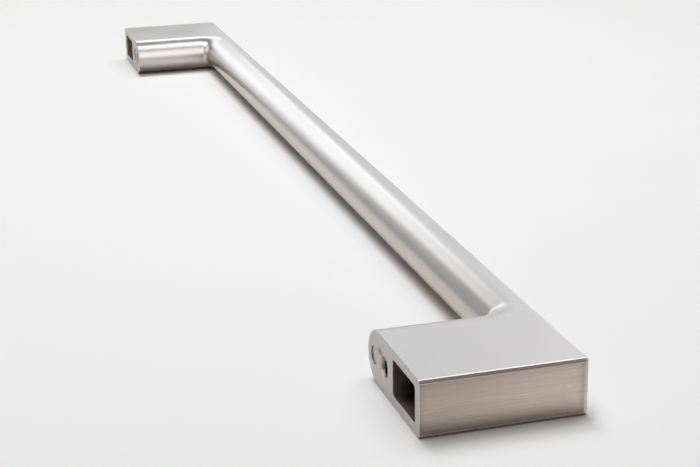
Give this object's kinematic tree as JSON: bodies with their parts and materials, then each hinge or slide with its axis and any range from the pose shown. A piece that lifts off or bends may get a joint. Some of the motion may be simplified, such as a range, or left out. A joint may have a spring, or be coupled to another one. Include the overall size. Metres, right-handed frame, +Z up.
{
  "type": "appliance pull",
  "caption": "Long U-shaped appliance door pull in satin nickel: a D-section bar between square-ended posts with tapped, cored mounting faces.",
  "frame": {"origin": "middle of the bounding box's underside, on the flat side that the pull lies on", "axes": "+X along the bar, +Y out of the mounting faces towards the door, +Z up from one flat side to the other"},
  "size_m": [0.5212, 0.052, 0.018],
  "materials": {
    "satin_nickel": "satin"
  },
  "bodies": {
    "root": {"pull": "satin_nickel"}
  },
  "joints": []
}
